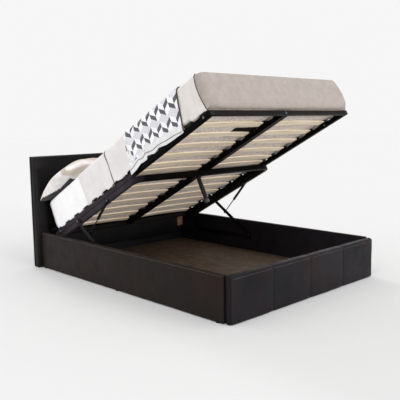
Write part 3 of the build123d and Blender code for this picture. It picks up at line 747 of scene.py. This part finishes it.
def foot_panel():
    low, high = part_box("foot_panel")
    length = high.x - low.x
    seams = [low.x + length * i / foot_sections for i in range(1, foot_sections)]
    # Painted shade: the foot panel takes a darker, cooler copy of the rails' leather
    panel = slab(
        "foot_panel_cover", low, high, 0, foot_form, "leather_foot", "base", seams,
        foot_cap_step
    )
    points = mesh_points(panel)
    share = (points[:, 0] - low.x) / length * foot_sections
    share = share - np.floor(np.clip(share, 0, foot_sections - 0.001))
    inside = between(points[:, 1], high.y - foot_flat_depth, high.y)
    crown = foot_crown * (1 - np.abs(2 * share - 1) ** 5) * (1 - inside)
    away = np.min([np.abs(points[:, 0] - seam) for seam in seams], axis=0)
    groove = -foot_seam_depth * np.exp(-((away / foot_seam_half) ** 2)) * (1 - inside)
    puckers = pleats(points[:, 2], away, *foot_pleats, phase=3 * share)
    ends = np.minimum(points[:, 0] - low.x, high.x - points[:, 0])
    across_end = (points[:, 1] - (low.y + high.y) / 2) / ((high.y - low.y) / 2)
    at_end = ends < foot_end_depth
    bulge = np.where(at_end, foot_end_swell * (1 - across_end**2), 0)
    piped = np.exp(-(((np.abs(across_end) - foot_end_groove_at) / foot_end_groove_half) ** 2))
    bulge = bulge - np.where(at_end, foot_end_groove * piped, 0)
    push_out(panel, creases(points, 23) * (1 - inside) + crown + groove + puckers + bulge)
    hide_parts("foot_panel")
    runs = []
    z = high.z - foot_stitch_drop
    front = low.y - foot_stitch_proud
    spots = [low.x, *seams, high.x]
    for start, end in zip(spots, spots[1:]):
        runs.append(((start + foot_stitch_end, front, z), (end - foot_stitch_end, front, z), (0, -1, 0.2)))
    across, up = seam_stitch_half
    for seam in seams:
        runs.append(((seam - across, front, z + up), (seam + across, front, z - up), (0, -1, 0.2)))
    stitches("foot_panel_stitches", runs)


# Mattress
mattress_low, mattress_high = platform_box("mattress")
mattress_rise = 0.013
mattress_top = mattress_high[2] + mattress_rise
mattress_corner = 0.055
least_corner = 0.004
mattress_edge = 0.024
mattress_steps = (24, 90, 120)
mattress_inset_steps = 30
mattress_edge_steps = 8
mattress_side_steps = 14
quilt_edge_share = 0.3
end_seam_u = 1.862
end_seam_bow = 0.012
end_piping = 0.0028
# The end that no cloth covers swells and is uneven
bare_u = (1.74, 1.78)
bare_bulge = 0.005
bare_side = (0.03, 0.15)
foot_bulge = 0.003
foot_bulge_reach = 0.03
far_corner_bulge = 0.012
far_corner_x = (0.55, 0.66)
far_corner_u = (1.70, 1.85)
far_corner_height = (0.35, 0.95)
# Its lower edge sags at the foot, and along its bare sides
foot_sag = 0.012
foot_sag_u = (1.848, 1.884)
foot_sag_x = (0.55, 0.655)
foot_sag_up = (0.01, 0.09)
edge_droop = 0.020
edge_droop_x = (0.655, 0.671)
edge_droop_u = (1.705, 1.725)
edge_droop_end = (1.868, 1.885)
edge_droop_up = (0.012, 0.05)


def seam_u(height):
    """Where the end seam lies along u; height is 0 at the bottom of the mattress and 1 at its top."""
    return end_seam_u - end_seam_bow * (1 - (2 * height - 1) ** 2)


def mattress_bulge(points, bottom, foot_u):
    """How far the bare end of the mattress swells at each point."""
    u = -points[:, 1]
    height = (points[:, 2] - bottom) / (mattress_top - bottom)
    bare = between(u, *bare_u)
    on_side = between(height, *bare_side) * between(1 - height, *bare_side)
    bulge = bare_bulge * (1 - (2 * height - 1) ** 2) * on_side * bare
    bulge += foot_bulge * between(u, foot_u - foot_bulge_reach, foot_u) * on_side
    far_corner = between(points[:, 0], *far_corner_x) * between(u, *far_corner_u)
    bulge += far_corner_bulge * far_corner * (1 - between(height, *far_corner_height))
    uneven = bumps(points, 31, (0.0018, (0.16, 0.16, 0.09), 0), (0.0008, 0.04, 0))
    return bulge + uneven * bare * on_side


def sag_mattress(moved, points, bottom):
    """Lowers the lower edge of the mattress at its foot and along its sides."""
    across, u, up = np.abs(points[:, 0]), -points[:, 1], points[:, 2] - bottom
    sag = foot_sag * between(u, *foot_sag_u) * (1 - between(across, *foot_sag_x))
    moved[:, 2] -= sag * (1 - between(up, *foot_sag_up))
    droop = edge_droop * between(across, *edge_droop_x) * between(u, *edge_droop_u)
    droop *= 1 - between(u, *edge_droop_end)
    moved[:, 2] -= droop * (1 - between(up, *edge_droop_up))


def mattress():
    low, high, top, edge = mattress_low, mattress_high, mattress_top, mattress_edge
    half_x, half_u = (high[0] - low[0]) / 2, (high[1] - low[1]) / 2
    middle_u, bottom = (low[1] + high[1]) / 2, low[2]
    insets = np.linspace(half_x * core_share, edge, mattress_inset_steps)
    sides = np.linspace(bottom + edge, top - edge, mattress_side_steps)[1:-1]
    levels = block_levels(bottom, top, insets, edge, mattress_edge_steps, sides)
    halves, middles = (half_x, half_u), (0, -middle_u)
    rows = ring_rows(levels, 2, halves, middles, mattress_corner, least_corner, mattress_steps)
    columns = len(rows[0])
    points = np.concatenate(rows)
    faces = stack_faces(len(rows), columns)
    cloths = ["border", "end_border", "quilt", "damask"]
    piece = add_piece("mattress_body", points, faces, cloths, "platform")
    face_outwards(piece)
    centres = np.array([np.mean(points[f], axis=0) for f in faces])
    kinds = np.where(-centres[:, 1] > seam_u((centres[:, 2] - bottom) / (top - bottom)), 1, 0)
    kinds = np.where(centres[:, 2] > top - edge * quilt_edge_share, 2, kinds)
    inner = (np.abs(centres[:, 0]) < half_x - edge) & (np.abs(centres[:, 1] + middle_u) < half_u - edge)
    kinds = np.where((centres[:, 2] < (bottom + top) / 2) & inner, 3, kinds)
    piece.data.polygons.foreach_set("material_index", kinds.astype(np.int32))
    bulge = mattress_bulge(points, bottom, middle_u + half_u)
    moved = mesh_points(piece) + mesh_normals(piece) * bulge[:, None]
    sag_mattress(moved, points, bottom)
    set_points(piece, moved)
    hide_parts("mattress")
    settled = moved.reshape(len(rows), columns, 3)
    for side, sign in (("left", -1), ("right", 1)):
        path = []
        for row in range(len(insets) + 1, len(rows) - len(insets) - 1):
            spots = settled[row]
            past = -spots[:, 1] - seam_u((levels[row][0] - bottom) / (top - bottom))
            crosses = (past[:-1] * past[1:] <= 0) & (sign * spots[:-1, 0] > 0)
            if crosses.any():
                k = int(np.argmax(crosses))
                share = past[k] / (past[k] - past[k + 1])
                path.append(spots[k] * (1 - share) + spots[k + 1] * share)
        tube(f"mattress_corner_piping_{side}", path, end_piping, "piping", sides=8)


# Bedding: steps of a cloth on a side and on an arc, and the spacing of its points on top
cloth_side_steps = 26
cloth_arc_steps = 6
cloth_top_spacing = 0.011
# Where along u the hem tells how far a cloth hangs down
cloth_depth_u = 1.3


def mirrored(left, middle, sign=1):
    """Values across a cloth, hem to hem; the right side is the left side times the sign."""
    return np.concatenate((left, middle, sign * left[::-1]))


def drape(name, finish, hem, start, end, layers, relief, spacing):
    """A cloth over the mattress: two layers joined at the rims.

    Start and end are where it lies along u, each with its slant for each metre down the left side. The
    layers are the gap under the cloth and its thickness. Returns the piece, its outer grid and its width.
    """
    half, top, edge = mattress_high[0], mattress_top, mattress_edge
    top_steps = int(2 * (half - edge) / cloth_top_spacing)
    rows_u = max(8, int(1 / spacing * abs(end[0] - start[0])))
    share = np.linspace(0, 1, rows_u)
    q = np.linspace(0, 1, cloth_side_steps + 1)
    angle = np.linspace(0, pi / 2, cloth_arc_steps + 1)[1:-1]
    out_x = mirrored(np.concatenate((np.full(len(q), -1.0), -np.cos(angle))), np.zeros(top_steps), -1)
    out = np.stack((out_x, 0 * out_x, np.sqrt(1 - out_x**2)), -1)[:, None, :]
    rise = mirrored(np.concatenate((q, 1 + 0 * angle)), np.ones(top_steps))
    inner_gap, thickness = layers
    grids = []
    for gap in (inner_gap + thickness, inner_gap):
        h, t, r = half + gap, top + gap, edge + gap
        left_x = np.concatenate((np.full(len(q), -h), -(h - r) - r * np.cos(angle)))
        x = mirrored(left_x, np.linspace(-(h - r), h - r, top_steps), -1)
        arc_n = mirrored(np.concatenate((0 * q, r * np.sin(angle))), np.full(top_steps, r))
        side_height = t - r - hem(np.array([cloth_depth_u]), -1)[0]
        depth = np.where(arc_n > 0, r - arc_n, (1 - rise) * side_height + r) * (x < 0)
        starts, ends = (first + slant * depth for first, slant in (start, end))
        u = starts[:, None] * (1 - share) + ends[:, None] * share
        low = np.where(x[:, None] < 0, hem(u, -1), hem(u, 1))
        n = low + (t - r - low) * rise[:, None] + arc_n[:, None]
        places = np.stack((x[:, None] + 0 * u, -u, n), -1)
        run = np.concatenate(([0], np.cumsum(np.hypot(np.diff(x), np.diff(n[:, rows_u // 2])))))
        down = np.abs(run - run[-1] / 2)
        moved = relief(places.reshape(-1, 3), u.ravel(), np.repeat(down, rows_u)).reshape(u.shape)
        grids.append((places + out * moved[..., None], u, run))
    outer, u, run = grids[0]
    inner = grids[1][0]
    count, rows = outer.shape[:2]
    faces = grid_faces(count, rows)
    under = faces[:, ::-1] + count * rows
    along, across = np.arange(rows), np.arange(count) * rows
    joins = []
    for line in (along, (count - 1) * rows + along, across, across + rows - 1):
        joins += [(a, b, b + count * rows, a + count * rows) for a, b in zip(line, line[1:])]
    faces = [list(f) for f in faces] + [list(f) for f in under] + joins
    signed = run[-1] / 2 - run
    uvs = np.stack((u, np.repeat(signed[:, None], rows, 1)), -1).reshape(-1, 2)
    points = np.concatenate((outer.reshape(-1, 3), inner.reshape(-1, 3)))
    uvs = np.concatenate((uvs, uvs))
    piece = add_piece(name, points, faces, finish, "platform", uvs)
    recalculate(piece)
    return piece, outer, float(run[-1])


# The hem hangs between the slat holders and is caught up over each of them
hem_low = {-1: 0.032, 1: 0.026}
hem_over_holder = {-1: 0.0425, 1: 0.0475}
hem_wave = 0.002
hem_wave_pitch = 0.083
hem_catch = (0.001, 0.009)
holder_gap = 0.06


def holder_places():
    """The middle of each slat holder along u, and half the length of a holder."""
    back = platform_place.inverted()
    along = sorted(-(back @ v.co).y for v in nodes["slat_holders_left"].data.vertices)
    groups = [[along[0]]]
    for u in along[1:]:
        if u - groups[-1][-1] > holder_gap:
            groups.append([])
        groups[-1].append(u)
    return [(group[0] + group[-1]) / 2 for group in groups], (groups[0][-1] - groups[0][0]) / 2


holder_middles, holder_half = holder_places()


def plain_hem(u, side):
    away = np.min([np.abs(u - middle) for middle in holder_middles], axis=0)
    wave = hem_wave * np.sin(2 * pi * u / hem_wave_pitch + 1 + side)
    caught = 1 - between(away, holder_half + hem_catch[0], holder_half + hem_catch[1])
    return (hem_low[side] + wave) * (1 - caught) + hem_over_holder[side] * caught


def sheet_relief(points, u, down):
    return bumps(points, 41, (0.0010, (0.2, 0.3, 0.12), 1), (0.0003, 0.03, 0))


def white_sheet():
    sheet, _, width = drape(
        "white_sheet", "sheet", plain_hem, start=(0.057, 0), end=(0.560, 0),
        layers=(0.0004, 0.0016), relief=sheet_relief, spacing=0.009
    )
    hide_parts("sheet")


# The head end of the cover is folded over, and the edge of the fold is piped; the dark piping also paints
# the shade in the gap under the fold
cover_end_u = 1.150
cover_fold_u = 0.887
cover_fold_step = 0.0030
cover_fold_reach = (0.001, 0.012)
cover_fold_dip = 0.0015
cover_fold_dip_half = 0.004
cover_near_start = 0.525
fold_piping = 0.0042
fold_piping_rise = 0.0006
fold_waver = 0.0025
fold_waver_steps = 3.1


def cover_relief(points, u, down):
    soft = bumps(points, 45, (0.0016, (0.16, 0.12, 0.10), 1), (0.0006, 0.035, 1))
    step_start, step_end = cover_fold_reach
    fold = cover_fold_step * between(u, cover_fold_u + step_start, cover_fold_u + step_end)
    return soft + fold - cover_fold_dip * np.exp(-(((u - cover_fold_u) / cover_fold_dip_half) ** 2))


def beige_cover():
    cover, outer, width = drape(
        "beige_cover", "cover", plain_hem, start=(0.520, 0.05), end=(cover_end_u, 0),
        layers=(0.0042, 0.0030), relief=cover_relief, spacing=0.007
    )
    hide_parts("cover")
    share = (cover_fold_u - cover_near_start) / (cover_end_u - cover_near_start)
    path = outer[:, int(round(share * (outer.shape[1] - 1)))].copy()
    path[:, 2] += fold_piping_rise
    path[:, 1] += fold_waver * np.sin(np.arange(len(path)) / fold_waver_steps)
    tube("cover_fold_piping", path, fold_piping, "piping")


# The throw's lower edge and the seam above it on the near side, as places along u and heights
throw_hem_line = curve_through((
    (1.107, 0.008), (1.156, 0.016), (1.200, 0.031), (1.261, 0.027), (1.277, 0.047), (1.344, 0.029),
    (1.380, 0.036), (1.398, 0.040), (1.468, 0.024), (1.542, 0.019), (1.633, 0.017), (1.643, 0.024),
))
throw_stitch_line = curve_through((
    (1.091, 0.033), (1.124, 0.041), (1.183, 0.061), (1.235, 0.053), (1.257, 0.071), (1.335, 0.052),
    (1.392, 0.057), (1.480, 0.045), (1.553, 0.039), (1.625, 0.026),
))
throw_far_hem = 0.034
throw_far_wave = 0.007
throw_far_pitch = 0.19
# It lies on the cover at its head end, is fluted near its hems and puffs out at the sides
throw_over_cover = 0.0075
throw_over_cover_u = (1.155, 1.215)
throw_flute = 0.0012
throw_flute_pitch = 0.12
throw_flute_down = (0.72, 0.88)
throw_puff = 0.008
throw_puff_up = (0.13, 0.24)
throw_puff_head_u = (1.10, 1.18)
throw_puff_foot_u = (1.66, 1.70)
# The plain band along its hems, and the seams that border it
throw_band = 0.058
throw_seam = 0.0018
throw_seam_out = 0.0008
throw_seam_rows = 20
throw_seam_ends = 2
# The dark cord along the throw's foot edge: a seam, made thick and dark as painted shade where the edge
# stands off the mattress
throw_edge_seam = 0.0040


def throw_relief(points, u, down):
    over_cover = throw_over_cover * (1 - between(u, *throw_over_cover_u))
    soft = bumps(points, 51, (0.0014, (0.14, 0.10, 0.08), 1), (0.0006, 0.03, 1))
    flute = throw_flute * np.sin(2 * pi * u / throw_flute_pitch + 1) * between(down, *throw_flute_down)
    puff = throw_puff * between(points[:, 2], *throw_puff_up) * between(u, *throw_puff_head_u)
    return over_cover + soft + flute + puff * (1 - between(u, *throw_puff_foot_u))


def throw_hem(u, side):
    far = throw_far_hem + throw_far_wave * np.sin(2 * pi * u / throw_far_pitch)
    return np.where(side < 0, throw_hem_line(u), far)


def hem_faces(piece, outer, reach):
    """1 for the faces of the plain band along the two lower edges, 0 elsewhere."""
    down = np.concatenate((outer[:1], outer), 0)
    run = np.cumsum(np.linalg.norm(np.diff(down, axis=0), axis=2), 0)
    margin = np.minimum(run, run[-1:] - run).reshape(-1)
    margin = np.concatenate((margin, margin))
    return np.array([margin[list(f.vertices)].mean() < reach for f in piece.data.polygons], np.int32)


def chevron_throw():
    throw, outer, width = drape(
        "chevron_throw", ["throw", "throw_hem"], throw_hem, start=(1.140, -0.24),
        end=(1.706, -0.28), layers=(0.0008, 0.0030), relief=throw_relief, spacing=0.006
    )
    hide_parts("throw")
    throw.data.polygons.foreach_set("material_index", hem_faces(throw, outer, throw_band))
    sides = (("left", -1, outer[:throw_seam_rows]), ("right", 1, outer[:-throw_seam_rows - 1:-1]))
    for side, sign, rows in sides:
        path = []
        for column in rows.transpose(1, 0, 2)[throw_seam_ends:-throw_seam_ends]:
            height = float(throw_stitch_line(-column[0, 1]))
            x, y = (float(np.interp(height, column[:, 2], column[:, k])) for k in (0, 1))
            path.append((x + throw_seam_out * sign, y, height))
        tube(f"throw_hem_seam_{side}", path, throw_seam, "piping")
    tube("throw_edge_foot", outer[:, -1], throw_edge_seam, "piping")


# Pillows. Their flat directions: x across, with the outer side below 0, and y towards the head
pillow_size = (0.750, 0.504, 0.160)
pillow_flat = (0.750, 0.504, 0.150)
pillow_steps = (66, 46)
# How high the seam of a pillow lies, as a share of its thickness
pillow_seam = 0.24
# How full the case is towards its rim, across and along: a power inside and one outside
pillow_round_x = (4, 0.36)
pillow_round_y = (3.4, 0.40)
# The painted shade on the underside: its distance from the sides, where from the head that margin starts
# and is full, and how far from the head it ends
pillow_shade_margin = 0.080
pillow_shade_widens = (0.03, 0.24)
pillow_shade_end = 0.39
# How the outer foot corner of a pillow hangs
pillow_droop = 0.045
pillow_droop_across = (0.16, 0.37)
pillow_droop_along = (-0.06, 0.25)
# How the underside sags until it rests on the bedding
pillow_sag = 0.075
pillow_sag_margin = (0.05, 0.15)
pillow_rest = 0.005
# How each pillow lies: pitch, roll and yaw, and how far it is moved outwards and up
left_pillow_turns = (-10.5, -2.5, -2)
right_pillow_turns = (-9.5, 2, 1.5)
pillow_spread = Vector((-0.016, 0, 0.032))
# The cloth of the case and the air in it
pillow_cloth = {
    "quality": 5, "mass": 0.15, "tension_stiffness": 25, "compression_stiffness": 25, "shear_stiffness": 8,
    "bending_stiffness": 0.08, "use_pressure": True, "uniform_pressure_force": 2.5, "air_damping": 4,
}
pillow_fill_steps = 24


def smooth_pillow(width, height, thickness):
    """A pillow case of two layers, closed round its rim, before it is filled."""
    steps_x, steps_y = pillow_steps
    x, y = np.meshgrid(np.linspace(-1, 1, steps_x), np.linspace(-1, 1, steps_y), indexing="ij")
    (power_x, full_x), (power_y, full_y) = pillow_round_x, pillow_round_y
    level_x = np.clip(1 - np.abs(x) ** power_x, 0, 1) ** full_x
    level = level_x * np.clip(1 - np.abs(y) ** power_y, 0, 1) ** full_y
    upper = (1 - pillow_seam) * thickness
    top = np.stack((x * width / 2, y * height / 2, level * upper), -1).reshape(-1, 3)
    inner = [i * steps_y + j for i in range(1, steps_x - 1) for j in range(1, steps_y - 1)]
    lower = {old: steps_x * steps_y + k for k, old in enumerate(inner)}
    bottom = top[inner] * np.array((1, 1, -pillow_seam / (1 - pillow_seam)))
    faces = grid_faces(steps_x, steps_y)
    below = [[lower.get(int(v), int(v)) for v in f][::-1] for f in faces]
    return np.concatenate((top, bottom)), [list(map(int, f)) for f in faces] + below


def fill_pillow(points, faces):
    """Fills the case by a cloth simulation with air pressure, and returns the settled points."""
    mesh = bpy.data.meshes.new("pillow_case")
    mesh.from_pydata(points.tolist(), [], faces)
    case = add_object("pillow_case", mesh)
    face_outwards(case)
    cloth = case.modifiers.new("fill", "CLOTH")
    for key, value in pillow_cloth.items():
        setattr(cloth.settings, key, value)
    cloth.settings.effector_weights.gravity = 0
    for step in range(1, pillow_fill_steps + 1):
        bpy.context.scene.frame_set(step)
    settled = case.evaluated_get(bpy.context.evaluated_depsgraph_get()).to_mesh()
    moved = np.array([v.co for v in settled.vertices])
    bpy.data.objects.remove(case)
    bpy.context.scene.frame_set(1)
    return moved


def pillow_shade_faces(flat, faces):
    """1 for the faces of the underside that take painted shade, 0 elsewhere."""
    middles = flat[np.array(faces)].mean(axis=1)
    from_side = pillow_flat[0] / 2 - np.abs(middles[:, 0])
    from_head = pillow_flat[1] / 2 - middles[:, 1]
    margin = pillow_shade_margin * between(from_head, *pillow_shade_widens)
    is_back = (from_side > margin) & (from_head < pillow_shade_end)
    return ((np.arange(len(faces)) >= len(faces) // 2) & is_back).astype(np.int32)


def settle_pillow(placed, flat):
    """Lets the outer corner of a placed pillow hang and its underside rest on the bedding."""
    hanging = between(-flat[:, 0], *pillow_droop_across) * between(-flat[:, 1], *pillow_droop_along)
    placed[:, 2] -= pillow_droop * hanging
    inside = between((np.array(pillow_flat[:2]) / 2 - np.abs(flat)).min(axis=1), *pillow_sag_margin)
    under_count = (pillow_steps[0] - 2) * (pillow_steps[1] - 2)
    inside[:len(flat) - under_count] = 0
    above = np.clip(placed[:, 2] - mattress_top - pillow_rest, 0, pillow_sag)
    placed[:, 2] -= inside * above


def pillows():
    points, faces = smooth_pillow(*pillow_flat)
    flat = points[:, :2].copy()
    points = fill_pillow(points, faces)
    points = points - (points.max(0) + points.min(0)) / 2
    points = points * (np.array(pillow_size) / (points.max(0) - points.min(0)))
    for side, turns in (("left", left_pillow_turns), ("right", right_pillow_turns)):
        low, high = platform_box(f"pillow_{side}")
        mirror = np.array((-1 if side == "right" else 1, 1, 1))
        pitch, roll, yaw = (Matrix.Rotation(radians(turn), 3, axis) for turn, axis in zip(turns, "XYZ"))
        placed = (points * mirror) @ np.array(pitch @ roll @ yaw).T
        middle = (placed.max(0) + placed.min(0)) / 2
        spot = (low + high) / 2 * np.array((1, -1, 1))
        placed = placed - middle + spot + np.array(pillow_spread) * mirror
        settle_pillow(placed, flat)
        pillow = add_piece(
            f"pillow_on_bed_{side}", placed, [f[::mirror[0]] for f in faces], ["pillow", "pillow_back"],
            "platform", flat
        )
        pillow.data.polygons.foreach_set("material_index", pillow_shade_faces(flat, faces))
        face_outwards(pillow)
        smooth = pillow.modifiers.new("smooth", "SUBSURF")
        smooth.levels = smooth.render_levels = 1
        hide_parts(f"pillow_{side}")


# Hardware: the finish of every node whose name holds a word; a later entry overrules an earlier one
node_finishes = {
    "lining": "lining", "batten": "pine", "floor_board": "hardboard", "corner_blocks": "block",
    "glides": "plastic", "lift_bracket": "black_steel", "lift_arm": "black_steel",
    "rear_link": "black_steel", "bracket_bolts": "zinc", "bracket_rivets": "zinc",
    "platform_pins": "zinc", "studs": "zinc", "strut_cylinder": "black_steel", "strut_rod": "rod",
    # The frame tubes share one powder coat: the near side tubes take its painted lit copy, the others its
    # painted shade copies
    "frame_": "steel_painted_shade", "spine": "steel_painted_deep_shade", "lift_rail": "steel_painted_shade",
    "lift_cross": "steel_painted_deep_shade", "support_leg": "steel", "leg_tip": "grey_plastic",
    "frame_side_left": "steel_painted_lit_near", "lift_rail_left": "steel_painted_lit_near",
    "frame_side_right": "steel_painted_deep_shade", "end_caps": "plastic", "slats_": "slat",
    "slat_holders": "plastic", "grip_pads": "felt",
}


def finish_nodes():
    for name, node in nodes.items():
        for word, finish in node_finishes.items():
            if word in name:
                node.data.materials.clear()
                node.data.materials.append(finishes[finish])


# Bolts: a domed head as shares of its radius and height, and the rim of its washer
bolt_radius = 0.006
bolt_height = 0.0035
bolt_sides = 14
bolt_head = ((0, 1), (0.45, 0.94), (0.8, 0.65), (0.98, 0.2), (1, 0), (1.45, 0))
washer_share = 1.5
washer_height = 0.0004
least_share = 0.02
bolt_guide = (0.3, 0.5, 0.81)
# Where they are: on the outer faces of the side tubes, on the foot tube and inside the side tubes
side_bolt_u = (1.815, 0.06)
side_bolt_n = 0.016
foot_bolt = (-0.008, 0.013)
inner_bolt_u = {1: 1.686, -1: 1.60}
side_tube_width = 0.03


def frame_bolts():
    """Domed bolt heads, each on a thin washer."""
    low, high = platform_box("frame_side_left")
    places = [((-sign * low[0], -u, side_bolt_n), (sign, 0, 0)) for sign in (-1, 1) for u in side_bolt_u]
    places.append(((foot_bolt[0], -high[1], foot_bolt[1]), (0, -1, 0)))
    for sign, u in inner_bolt_u.items():
        places.append(((sign * (-low[0] - side_tube_width), -u, side_bolt_n), (-sign, 0, 0)))
    outline = [(share, bolt_height * rise) for share, rise in bolt_head] + [(washer_share, -washer_height)]
    points, faces = [], []
    turns = np.arange(bolt_sides) * 2 * pi / bolt_sides
    for spot, out in places:
        out = np.array(out, float) / np.linalg.norm(out)
        side = np.cross(out, bolt_guide)
        side /= np.linalg.norm(side)
        up = np.cross(out, side)
        base = len(points)
        for share, rise in outline:
            for turn in turns:
                around = (cos(turn) * side + sin(turn) * up) * max(share, least_share) * bolt_radius
                points.append(np.array(spot) + out * (rise + washer_height) + around)
        first = list(range(base, base + bolt_sides))
        last = [k + (len(outline) - 1) * bolt_sides for k in first]
        rings = grid_faces(len(outline), bolt_sides, closed=True)
        faces += [[base + k for k in f] for f in rings] + [first, last[::-1]]
    recalculate(add_piece("frame_bolts", points, faces, "zinc", "platform"))


# Felt pads under the mattress: their ends across and along u
pads = {"pad": ((-0.206, 0.022), (1.492, 1.618)), "strip": ((-0.205, -0.055), (1.641, 1.659))}
pad_form = (0.0009, 0.0009, 0.006)
pad_below = 0.001


def grip_pads():
    """Felt pads under the mattress, seen between the slats, with fibres that stand unevenly."""
    low, high = platform_box("mattress_grip_pads")
    for name, ((x0, x1), (u0, u1)) in pads.items():
        pad = slab(
            f"mattress_grip_{name}", (x0, -u1, low[2] - pad_below), (x1, -u0, high[2]), 0, pad_form,
            "felt", "platform"
        )
        push_out(pad, bumps(mesh_points(pad), 61, (0.0003, 0.006, 0)))
        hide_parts("mattress_grip_pads")


weld_along = np.arange(0.03, 1.02, 0.006)
weld_radius = 0.0022
weld_waver = 0.0004
weld_waves = 900


def welds():
    """Beads where each side tube lies on its lift rail, coloured near black as painted shade in the joint.
    """
    outer_x = platform_box("lift_rail_left")[0][0]
    for side, sign in (("left", -1), ("right", 1)):
        wobble = weld_waver * np.sin(weld_along * weld_waves)
        bead = np.column_stack((np.full(len(weld_along), sign * -outer_x), -weld_along, wobble))
        tube(f"frame_weld_{side}", bead, weld_radius, "seam_black")


make_camera()
make_lights()
make_floor()
finish_nodes()
headboard()
side_rails()
foot_panel()
mattress()
white_sheet()
beige_cover()
chevron_throw()
pillows()
frame_bolts()
grip_pads()
welds()
